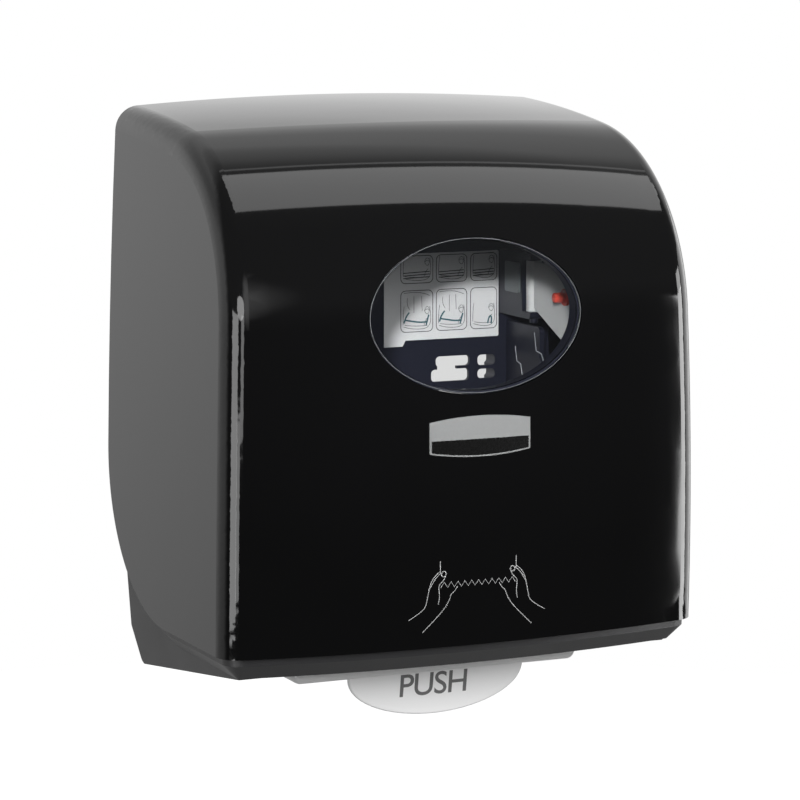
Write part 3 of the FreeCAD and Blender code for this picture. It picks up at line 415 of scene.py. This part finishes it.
label_lines, label_teal = [], []
for left, right in frame_columns:
    for low in (lower_row[0], upper_row[0]):
        # an open holder seen from one side: its back, its two arms and the roll between them
        middle = (left + right) / 2
        label_lines.append([(left + 1.8, low + 3.2), (left + 6.0, low + 1.8), (right - 5.0, low + 1.4),
                            (right - 1.6, low + 4.0), (right - 1.2, low + 9.0), (right - 2.0, low + 15.0)])
        label_lines.append([(left + 1.6, low + 4.6), (left + 1.4, low + 10.0), (left + 2.2, low + 15.5)])
        label_lines.append([(right - 6.0, low + 12.6), (right - 3.6, low + 15.6), (right - 1.8, low + 13.0),
                            (right - 3.4, low + 9.6), (right - 6.0, low + 12.6)])
        label_lines.append([(right - 5.2, low + 12.6), (right - 3.6, low + 14.2), (right - 2.6, low + 12.8)])
        label_lines.append([(left + 2.6, low + 4.2), (middle, low + 3.0), (right - 3.4, low + 3.6)])
        label_lines.append([(right - 5.8, low + 3.8), (right - 4.6, low + 7.6), (right - 3.0, low + 8.4)])
for left, right in frame_columns[:2]:
    label_lines.append([(left + 2.0, 33.0), (left + 8.0, 33.6), (right - 5.0, 32.6), (right - 2.0, 31.0)])
    label_lines.append([(left + 8.6, 31.0), (left + 8.6, 21.0)])
    label_lines.append([(right - 7.4, 31.0), (right - 7.0, 22.0)])
    label_lines.append([(left + 4.4, 30.0), (left + 3.4, 26.0), (left + 6.0, 23.0)])
    label_teal.append([(left + 2.6, 16.9), (left + 8.0, 15.9), (right - 7.0, 15.0), (right - 3.4, 15.4)])
    label_teal.append([(left + 2.2, 15.0), (left + 2.8, 18.6), (left + 5.6, 21.4)])
    label_teal.append([(right - 4.4, 13.4), (right - 3.2, 17.6), (right - 2.6, 19.6)])
label_teal.append([(95.4, 12.6), (96.4, 17.8), (98.4, 16.0), (97.6, 12.4)])
# painted shade: three thick black strokes across each upper frame darken the label's upper row
label_painted_shade = []
for left, right in frame_columns:
    label_painted_shade += [[(left + 1.6, 45.0 - step), (right - 2.0, 45.6 - step)] for step in (0.0, 1.6, 3.2)]
laid("label_drawings", strokes("label_drawings", label_lines, 0.30, True), "instruction_label", "housing",
     print_black, 0.02)
laid("label_painted_shade", strokes("label_painted_shade", label_painted_shade, 0.55, True), "instruction_label", "housing",
     print_black, 0.02)
laid("label_colour", strokes("label_colour", label_teal, 0.95, True), "instruction_label", "housing",
     print_teal, 0.03)

# Arm brackets and posts: black blocks moulded for either end of the roll, screwed to the
# wall plate. Each holds an upright post that its roll arm turns on, under a grey cap.
inner_black.dress("right_arm_bracket", "left_arm_bracket", "right_arm_post", "left_arm_post")

cap_grey = Finish("cap_grey", IOR=1.5)
cap_cloud = cap_grey.noise(60.0, 3.0)
cap_grain = cap_grey.noise(1800.0, 2.0)
cap_grey.set("Base Color", cap_grey.mix(cap_cloud, (0.13, 0.15, 0.155), (0.19, 0.21, 0.215)))
cap_grey.set("Roughness", cap_grain * 0.15 + 0.35)
cap_grey.bump(cap_grain, 0.00003)
cap_grey.dress("right_bracket_cap", "left_bracket_cap")

# Roll arms: light grey mouldings that swing out on their posts and spring back against
# the ends of the roll. A red hub pin at each nose goes into the roll's core.
arm_grey = Finish("arm_grey", IOR=1.5)
arm_cloud = arm_grey.noise(40.0, 3.0)
arm_grain = arm_grey.noise(1600.0, 2.0)
arm_grey.set("Base Color", arm_grey.mix(arm_cloud, (0.68, 0.69, 0.70), (0.76, 0.77, 0.78)))
arm_grey.set("Roughness", arm_grain * 0.12 + 0.32)
arm_grey.bump(arm_grain, 0.00003)
arm_grey.dress("right_roll_arm", "left_roll_arm")

pin_red = Finish("pin_red", IOR=1.5)
pin_cloud = pin_red.noise(120.0, 2.0)
pin_red.set("Base Color", pin_red.mix(pin_cloud, (0.86, 0.08, 0.05), (0.94, 0.13, 0.09)))
pin_red.set("Roughness", pin_cloud * 0.1 + 0.22)
pin_red.dress("right_hub_pin", "left_hub_pin")

# Side frames: black plates that stand on the base and carry the rollers, gears and lever,
# held by one screw at each end.
inner_black.dress("right_side_frame", "left_side_frame")

# Frame beads: thin ribs along the stepped front edges of the right side frame, moulded with it, that stiffen
# the edge.
# Their light grey is a painted highlight, for the light that these black edges catch behind the window.
bead_grey = Finish("bead_grey", IOR=1.5)
edge_highlight_cloud = bead_grey.noise(300.0, 2.0)
# painted highlight: light grey where the black frame edges catch the light
bead_grey.set("Base Color", bead_grey.mix(edge_highlight_cloud, (0.34, 0.37, 0.40), (0.46, 0.49, 0.52)))
bead_grey.set("Roughness", edge_highlight_cloud * 0.1 + 0.2)
edge_highlight_x, edge_highlight_width = 107.9 * mm, 0.7
# each painted highlight strip's corners as (y, z) in mm
edge_highlights = {
    "rear_frame_painted_highlight": [(-24.8, -0.5), (-27.0, -9.4), (-32.4, -10.6), (-35.2, -19.3), (-33.9, -22.5)],
    "front_frame_painted_highlight": [(-50.3, 10.4), (-53.1, -0.4), (-59.8, -1.4), (-63.8, -7.0), (-59.3, -12.9)],
}
for name, edge_highlight_line in edge_highlights.items():
    mesh = drawn(name, strokes(name, [edge_highlight_line], edge_highlight_width, False))
    for vertex in mesh.vertices:
        y, z, x = vertex.co
        vertex.co = (edge_highlight_x + x, y, z)
    mesh.materials.append(bead_grey.owner)
    piece = bpy.data.objects.new(name, mesh)
    collection.objects.link(piece)
    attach(piece, "housing")

# Tie bars and hinge pins: ground steel bars. Two spread the side frames, and the cover
# swings on the pins in the base.
ground_steel = Finish("ground_steel", Metallic=1.0)
steel_lines = ground_steel.noise(2500.0, 2.0, (1.0, 0.05, 0.05))
steel_cloud = ground_steel.noise(50.0, 3.0)
ground_steel.set("Base Color", ground_steel.mix(steel_cloud, (0.48, 0.48, 0.48), (0.60, 0.60, 0.59)))
ground_steel.set("Roughness", steel_lines * 0.14 + 0.22)
ground_steel.bump(steel_lines, 0.00001)
ground_steel.dress("tie_bars", "cover_hinge_pins")

# Chutes and guides: thin black walls across the module that lead the towel down from the
# roll, between the feed and pinch rollers, and out through the slot past the blade.
inner_black.dress("front_chute", "rear_chute", "front_guide", "rear_guide")

# Tear blade: a stainless strip with a row of pressed teeth, screwed to the front guide.
blade_steel = Finish("blade_steel", Metallic=1.0)
blade_lines = blade_steel.noise(1800.0, 2.0, (0.04, 1.0, 1.0))
blade_steel.set("Base Color", blade_steel.mix(blade_lines, (0.54, 0.54, 0.54), (0.66, 0.66, 0.65)))
blade_steel.set("Roughness", blade_lines * 0.16 + 0.20)
blade_steel.bump(blade_lines, 0.00001)
blade_steel.dress("tear_blade")

# Feed roller: a black core on a ground shaft, with four ground rubber sleeves, a fluted
# grey thumb wheel at the right end, wire clips, and acetal bushes in the side frames.
inner_black.dress("feed_core")
ground_steel.dress("feed_shaft", "idler_stud")
cap_grey.dress("thumb_wheel")

grip_rubber = Finish("grip_rubber", IOR=1.5)
rubber_grind = grip_rubber.noise(1800.0, 3.0, (1.0, 0.3, 0.3))
rubber_dust = grip_rubber.noise(90.0, 4.0)
grip_rubber.set("Base Color", grip_rubber.mix(rubber_dust, (0.018, 0.018, 0.018), (0.040, 0.040, 0.039)))
grip_rubber.set("Roughness", rubber_grind * 0.2 + 0.62)
grip_rubber.bump(rubber_grind, 0.00008)
grip_rubber.dress("feed_sleeves")

spring_steel = Finish("spring_steel", Metallic=1.0)
spring_draw = spring_steel.noise(900.0, 3.0)
spring_steel.set("Base Color", spring_steel.mix(spring_draw, (0.34, 0.34, 0.35), (0.50, 0.50, 0.50)))
spring_steel.set("Roughness", spring_draw * 0.15 + 0.28)
spring_steel.dress("shaft_clips")

acetal = Finish("acetal", IOR=1.48)
acetal_cloud = acetal.noise(50.0, 3.0)
acetal_grain = acetal.noise(1400.0, 2.0)
acetal.set("Base Color", acetal.mix(acetal_cloud, (0.68, 0.66, 0.60), (0.78, 0.76, 0.70)))
acetal.set("Roughness", acetal_grain * 0.15 + 0.30)
acetal.bump(acetal_grain, 0.00002)
acetal.dress("feed_bushes", "lever_bushes")

# Pinch roller: a thin shaft with four rubber rollers, in blocks that slide in the side
# frames, each pushed against the feed roller by a small coil spring.
ground_steel.dress("pinch_shaft")
grip_rubber.dress("pinch_rollers")
acetal.dress("pinch_blocks")
spring_steel.dress("pinch_springs")

# Push lever: a glossy white moulding, a rounded bar with a tongue below it that carries one
# word in grey. It swings on a ground shaft, and a twist spring brings it back.
lever_white = Finish("lever_white", IOR=1.5)
lever_cloud = lever_white.noise(14.0, 3.0)
lever_rub = lever_white.noise(220.0, 4.0)
lever_white.set("Base Color", lever_white.mix(lever_cloud, (0.83, 0.83, 0.83), (0.86, 0.86, 0.86)))
lever_white.set("Roughness", lever_cloud * 0.06 + lever_rub * 0.05 + 0.24)
lever_white.dress("push_lever")
ground_steel.dress("lever_shaft")
spring_steel.dress("return_spring")

lever_ink = Finish("lever_ink", IOR=1.5)
lever_ink_grain = lever_ink.noise(900.0, 3.0)
lever_ink.set("Base Color", lever_ink.mix(lever_ink_grain, (0.115, 0.115, 0.115), (0.15, 0.15, 0.15)))
lever_ink.set("Roughness", lever_ink_grain * 0.1 + 0.40)
word_x, word_z, word_size = -1.4 * mm, -174.0 * mm, 18.9 * mm
push_word = bpy.data.curves.new("push_word", "FONT")
push_word.body = "PUSH"
push_word.align_x = "CENTER"
push_word.align_y = "CENTER"
push_word.size = word_size
push_word.space_character = 0.94
push_word.offset = 0.12 * mm
push_word.extrude = 1.0 * mm
push_word.resolution_u = 6
push_word.offset_x = word_x
push_word.offset_y = word_z
laid("push_word", push_word, "push_lever", "lever", lever_ink, 0.0)

# Gears: natural acetal. A toothed sector on the lever's shaft drives the idler, and the
# idler the clutch wheel, which turns the feed shaft one way only.
acetal.dress("lever_sector", "idler_gear", "clutch_gear")

# Cover: one deep moulding of black plastic, polished in the mould. Its gloss has the
# faint waviness of a large moulding and a trace of fine wiping marks.
cover_gloss = Finish("cover_gloss", IOR=1.5)
haze = cover_gloss.noise(9.0, 3.0)
wiping = cover_gloss.noise(420.0, 2.0, (1.0, 1.0, 0.06))
cover_gloss.set("Base Color", cover_gloss.mix(haze, (0.0006, 0.0006, 0.0007), (0.0014, 0.0014, 0.0016)))
cover_gloss.set("Roughness", haze * 0.03 + wiping * 0.02 + 0.03)
cover_gloss.bump(cover_gloss.noise(26.0, 1.0), 0.00004)
cover_gloss.dress("front_cover")

# Sign on the cover: a plain line drawing, printed in grey, of two hands that pull a towel
# down and tear it off across its width.
sign_grey = Finish("sign_grey", IOR=1.5)
sign_grain = sign_grey.noise(900.0, 2.0)
sign_grey.set("Base Color", sign_grey.mix(sign_grain, (0.30, 0.30, 0.30), (0.40, 0.40, 0.40)))
sign_grey.set("Roughness", sign_grain * 0.1 + 0.40)
sign_x, sign_z = -0.7, -107.6
# the right hand, as strokes through (x, z) in mm from the sign's middle; the left mirrors it
hand = [
    [(22.9, 15.5), (22.9, 11.5), (22.9, 8.6)],
    [(22.9, 9.8), (25.8, 7.9), (28.6, 3.5), (29.6, -1.2), (30.6, -6.0), (31.4, -9.6), (34.4, -12.4),
     (41.3, -16.4)],
    [(22.4, 8.8), (25.4, 6.6), (27.4, 3.2), (28.8, 1.0)],
    [(19.4, 8.6), (19.6, 6.9), (21.4, 6.5), (22.4, 7.8), (21.8, 9.4), (20.2, 9.8), (19.4, 8.6)],
    [(19.6, 7.4), (20.4, 5.0), (22.6, 3.2), (23.8, 1.6), (23.4, -2.5), (23.3, -6.0), (24.0, -8.6)],
    [(12.6, 0.9), (14.0, -1.6), (16.4, -3.2), (17.2, -6.2), (20.0, -10.8), (24.4, -15.6), (33.0, -23.6)],
]
edge_start, edge_step, edge_height, edge_tooth = -22.6, 2.055, 2.1, 1.5
towel_edge = [(edge_start + edge_step * i, edge_height + (edge_tooth if i % 2 else -edge_tooth))
              for i in range(23)]
sign_lines = [[(sign_x + x, sign_z + z) for x, z in line] for line in hand]
sign_lines += [[(sign_x - x, sign_z + z) for x, z in line] for line in hand]
laid("towel_sign_hands", strokes("towel_sign_hands", sign_lines, 0.50, True), "front_cover", "cover",
     sign_grey, 0.02)
laid("towel_sign_edge",
     strokes("towel_sign_edge", [[(sign_x + x, sign_z + z) for x, z in towel_edge]], 0.50, False),
     "front_cover", "cover", sign_grey, 0.02)

# Window: a clear lens that drops into the oval hole from behind. Its sideways flanks are drawn flat dark, a
# painted shade for the dark crescent at the lens's edge.
# A thin pale line laid round its moulded rim is a painted highlight, for the light that the rim catches.
window_z = 40.5
lens_clear = Tree(bpy.data.materials.new("lens_clear"))
lens_through = lens_clear.nodes.new("ShaderNodeBsdfTransparent")
lens_through.inputs["Color"].default_value = (0.86, 0.862, 0.86, 1)
lens_mirror = lens_clear.nodes["Principled BSDF"]
lens_mirror.inputs["Base Color"].default_value = (0.8, 0.84, 0.9, 1)
lens_mirror.inputs["Roughness"].default_value = 0.02
lens_mirror.inputs["Metallic"].default_value = 1.0
lens_fresnel = lens_clear.add("ShaderNodeFresnel", {}, {"IOR": 1.45})
lens_mix = lens_clear.nodes.new("ShaderNodeMixShader")
lens_clear.links.new(lens_fresnel.socket, lens_mix.inputs[0])
lens_clear.links.new(lens_through.outputs[0], lens_mix.inputs[1])
lens_clear.links.new(lens_mirror.outputs[0], lens_mix.inputs[2])
# painted shade: the lens's sideways faces are drawn flat dark, for the dark crescent at its edge
lens_painted_shade = lens_clear.nodes.new("ShaderNodeBsdfDiffuse")
lens_painted_shade.inputs["Color"].default_value = (0.012, 0.013, 0.017, 1)
lens_facing = lens_clear.add("ShaderNodeTexCoord", {}, {}, "Normal")
lens_facing = lens_clear.add("ShaderNodeSeparateXYZ", {}, {0: lens_facing}, 1)
lens_shade_flank = lens_clear.step(lens_facing * lens_facing, 0.30, 0.45)
lens_whole = lens_clear.nodes.new("ShaderNodeMixShader")
lens_clear.links.new(lens_shade_flank.socket, lens_whole.inputs[0])
lens_clear.links.new(lens_painted_shade.outputs[0], lens_whole.inputs[1])
lens_clear.links.new(lens_mix.outputs[0], lens_whole.inputs[2])
lens_clear.links.new(lens_whole.outputs[0], lens_clear.nodes["Material Output"].inputs[0])
nodes["window_lens"].material_slots[0].material = lens_clear.owner

# painted highlight: a thin pale line laid round the lens's rim, for the light that the rounded rim catches
rim_pale = Finish("rim_pale", IOR=1.5)
rim_highlight_cloud = rim_pale.noise(60.0, 3.0)
rim_pale.set("Base Color", rim_pale.mix(rim_highlight_cloud, (0.07, 0.073, 0.077), (0.15, 0.155, 0.16)))
rim_pale.set("Roughness", rim_highlight_cloud * 0.1 + 0.25)
rim_half_width, rim_half_height, rim_corners = 63.2, 41.6, 48
rim_turns = [math.tau * i / rim_corners for i in range(rim_corners)]
rim_line = [(rim_half_width * math.cos(turn), window_z + rim_half_height * math.sin(turn))
            for turn in rim_turns]
rim_line.append(rim_line[0])
laid("window_rim_painted_highlight", strokes("window_rim_painted_highlight", [rim_line], 0.32, True), "window_lens", "cover",
     rim_pale, 0.05, 0.3)

# Window collar: a black ring moulded behind the hole, that the lens snaps into and that
# hides the cut edge of the cover.
collar_half_width, collar_half_height, collar_wall = 62.6, 41.0, 1.2
collar_front, collar_rear = 3.4, 12.5
# the cover is met this much further out than the ring, past the edge of its hole
outwards = 1.04
collar = bmesh.new()
loops = []
for spread, depth in ((0.0, collar_front), (collar_wall, collar_front),
                      (collar_wall, collar_rear), (0.0, collar_rear)):
    ring = bmesh.ops.create_circle(collar, segments=96, radius=1.0)["verts"]
    for vertex in ring:
        x = (collar_half_width + spread) * vertex.co.x
        z = (collar_half_height + spread) * vertex.co.y
        front = front_of(cover_faces, x * outwards * mm, (window_z + z * outwards) * mm)
        vertex.co = (x * mm, front + depth * mm, (window_z + z) * mm)
    loops.append(list({edge for vertex in ring for edge in vertex.link_edges}))
for first, second in zip(loops, loops[1:] + loops[:1]):
    bmesh.ops.bridge_loops(collar, edges=first + second)
bmesh.ops.recalc_face_normals(collar, faces=collar.faces)
window_collar = made("window_collar", collar, inner_black)
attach(window_collar, "cover")

# Badge: a thin satin plate, bowed top and bottom, stuck to the front. A dark band crosses
# its lower half inside a pale border, and it carries no words.
badge_satin = Finish("badge_satin", IOR=1.46)
badge_grain = badge_satin.noise(700.0, 3.0)
badge_satin.set("Base Color", badge_satin.mix(badge_grain, (0.135, 0.138, 0.138), (0.155, 0.158, 0.158)))
badge_satin.set("Roughness", badge_grain * 0.12 + 0.34)
badge_satin.dress("cover_badge")

badge_dark = Finish("badge_dark", IOR=1.5)
dark_grain = badge_dark.noise(700.0, 3.0)
badge_dark.set("Base Color", badge_dark.mix(dark_grain, (0.001, 0.001, 0.001), (0.0025, 0.0025, 0.0025)))
badge_dark.set("Roughness", dark_grain * 0.1 + 0.22)
band_half_width, band_head, band_foot, band_lift = 29.2, -26.1, -34.95, 0.06
band_bow = 177.0
badge_faces = surface("cover_badge")
band = bmesh.new()
bmesh.ops.create_grid(band, x_segments=28, y_segments=4, size=1.0)
for vertex in band.verts:
    x = band_half_width * vertex.co.x
    foot = band_foot + x * x / (2 * band_bow)
    z = foot + (band_head - foot) * (vertex.co.y + 1) / 2
    vertex.co = (x * mm, front_of(badge_faces, x * mm, z * mm) - band_lift * mm, z * mm)
bmesh.ops.recalc_face_normals(band, faces=band.faces)
if sum(face.normal.y for face in band.faces) > 0:
    bmesh.ops.reverse_faces(band, faces=band.faces)
badge_band = made("badge_band", band, badge_dark)
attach(badge_band, "cover")

# Lock: a zinc-plated barrel in the right side of the cover, turned with a key, whose cam
# catches behind a keeper on the wall plate.
zinc.dress("lock_barrel", "lock_cam")
